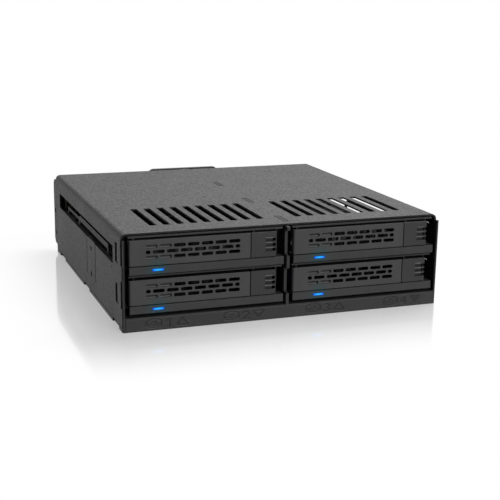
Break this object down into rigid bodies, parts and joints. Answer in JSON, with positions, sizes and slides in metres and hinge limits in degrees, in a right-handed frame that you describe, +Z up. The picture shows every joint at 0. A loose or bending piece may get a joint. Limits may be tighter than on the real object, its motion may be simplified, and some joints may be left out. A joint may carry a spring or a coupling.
{
  "type": "hot swap drive cage",
  "caption": "Half-height bay cage in folded steel with slim slide-out drive trays, grilled swing levers, press latches, blue light windows and a rear fan.",
  "frame": {"origin": "centre of the underside, midway between the bezel's front face and the back of the rear panel", "axes": "+X to the right seen from the front, +Y from the front face to the back, +Z up"},
  "size_m": [0.146, 0.1587, 0.0413],
  "materials": {
    "cover_steel": "fine black powder coat",
    "base_steel": "fine black powder coat",
    "inner_steel": "satin black",
    "panel_steel": "fine black powder coat",
    "pan_steel": "satin black",
    "bezel_plastic": "fine matt texture",
    "tray_plastic": "fine matt texture",
    "lever_plastic": "fine matt texture",
    "latch_plastic": "fine matt texture",
    "light_blue": "clear, lit blue",
    "circuit_board": "dark green solder mask",
    "socket_plastic": "black moulded",
    "port_plastic": "black moulded",
    "fan_plastic": "black moulded",
    "rotor_plastic": "black moulded",
    "bare_steel": "bare",
    "spring_steel": "bare",
    "screw_black": "black oxide"
  },
  "bodies": {
    "cage": {"outer_shell": "cover_steel", "bottom_plate": "base_steel", "center_divider": "inner_steel", "front_bezel": "bezel_plastic", "upper_runners": "inner_steel", "lower_runners": "inner_steel", "rear_panel": "panel_steel", "backplane_board": "circuit_board", "drive_sockets": "socket_plastic", "data_ports": "port_plastic", "power_ports": "port_plastic", "board_spacers": "bare_steel", "board_screws": "bare_steel", "fan_frame": "fan_plastic", "fan_screws": "screw_black"},
    "fan": {"fan_rotor": "rotor_plastic"},
    "tray_lower_left": {"tray_front_lower_left": "tray_plastic", "tray_pan_lower_left": "pan_steel", "light_pipe_lower_left": "light_blue", "lever_pin_lower_left": "bare_steel", "lever_spring_lower_left": "spring_steel", "latch_pin_lower_left": "bare_steel", "latch_spring_lower_left": "spring_steel"},
    "lever_lower_left": {"lever_lower_left": "lever_plastic"},
    "latch_lower_left": {"latch_lower_left": "latch_plastic"},
    "tray_upper_left": {"tray_front_upper_left": "tray_plastic", "tray_pan_upper_left": "pan_steel", "light_pipe_upper_left": "light_blue", "lever_pin_upper_left": "bare_steel", "lever_spring_upper_left": "spring_steel", "latch_pin_upper_left": "bare_steel", "latch_spring_upper_left": "spring_steel"},
    "lever_upper_left": {"lever_upper_left": "lever_plastic"},
    "latch_upper_left": {"latch_upper_left": "latch_plastic"},
    "tray_lower_right": {"tray_front_lower_right": "tray_plastic", "tray_pan_lower_right": "pan_steel", "light_pipe_lower_right": "light_blue", "lever_pin_lower_right": "bare_steel", "lever_spring_lower_right": "spring_steel", "latch_pin_lower_right": "bare_steel", "latch_spring_lower_right": "spring_steel"},
    "lever_lower_right": {"lever_lower_right": "lever_plastic"},
    "latch_lower_right": {"latch_lower_right": "latch_plastic"},
    "tray_upper_right": {"tray_front_upper_right": "tray_plastic", "tray_pan_upper_right": "pan_steel", "light_pipe_upper_right": "light_blue", "lever_pin_upper_right": "bare_steel", "lever_spring_upper_right": "spring_steel", "latch_pin_upper_right": "bare_steel", "latch_spring_upper_right": "spring_steel"},
    "lever_upper_right": {"lever_upper_right": "lever_plastic"},
    "latch_upper_right": {"latch_upper_right": "latch_plastic"}
  },
  "joints": [
    {"name": "fan_spin", "type": "hinge", "parent": "cage", "child": "fan", "pos_m": [0, 0.078, 0.02065], "axis": [0, 1, 0], "continuous": true},
    {"name": "tray_slide_lower_left", "type": "slide", "parent": "cage", "child": "tray_lower_left", "axis": [0, -1, 0], "range_m": [0, 0.118]},
    {"name": "lever_swing_lower_left", "type": "hinge", "parent": "tray_lower_left", "child": "lever_lower_left", "pos_m": [-0.0676, -0.0711, 0.01675], "axis": [0, 0, -1], "range_deg": [0, 80]},
    {"name": "latch_press_lower_left", "type": "hinge", "parent": "tray_lower_left", "child": "latch_lower_left", "pos_m": [-0.01505, -0.0711, 0.01675], "axis": [0, 0, 1], "range_deg": [0, 12], "stiffness_Nm_per_rad": 0.02, "springref_deg": -5.73},
    {"name": "tray_slide_upper_left", "type": "slide", "parent": "cage", "child": "tray_upper_left", "axis": [0, -1, 0], "range_m": [0, 0.118]},
    {"name": "lever_swing_upper_left", "type": "hinge", "parent": "tray_upper_left", "child": "lever_upper_left", "pos_m": [-0.0676, -0.0711, 0.03345], "axis": [0, 0, -1], "range_deg": [0, 80]},
    {"name": "latch_press_upper_left", "type": "hinge", "parent": "tray_upper_left", "child": "latch_upper_left", "pos_m": [-0.01505, -0.0711, 0.03345], "axis": [0, 0, 1], "range_deg": [0, 12], "stiffness_Nm_per_rad": 0.02, "springref_deg": -5.73},
    {"name": "tray_slide_lower_right", "type": "slide", "parent": "cage", "child": "tray_lower_right", "axis": [0, -1, 0], "range_m": [0, 0.118]},
    {"name": "lever_swing_lower_right", "type": "hinge", "parent": "tray_lower_right", "child": "lever_lower_right", "pos_m": [0.0048, -0.0711, 0.01675], "axis": [0, 0, -1], "range_deg": [0, 80]},
    {"name": "latch_press_lower_right", "type": "hinge", "parent": "tray_lower_right", "child": "latch_lower_right", "pos_m": [0.05735, -0.0711, 0.01675], "axis": [0, 0, 1], "range_deg": [0, 12], "stiffness_Nm_per_rad": 0.02, "springref_deg": -5.73},
    {"name": "tray_slide_upper_right", "type": "slide", "parent": "cage", "child": "tray_upper_right", "axis": [0, -1, 0], "range_m": [0, 0.118]},
    {"name": "lever_swing_upper_right", "type": "hinge", "parent": "tray_upper_right", "child": "lever_upper_right", "pos_m": [0.0048, -0.0711, 0.03345], "axis": [0, 0, -1], "range_deg": [0, 80]},
    {"name": "latch_press_upper_right", "type": "hinge", "parent": "tray_upper_right", "child": "latch_upper_right", "pos_m": [0.05735, -0.0711, 0.03345], "axis": [0, 0, 1], "range_deg": [0, 12], "stiffness_Nm_per_rad": 0.02, "springref_deg": -5.73}
  ]
}
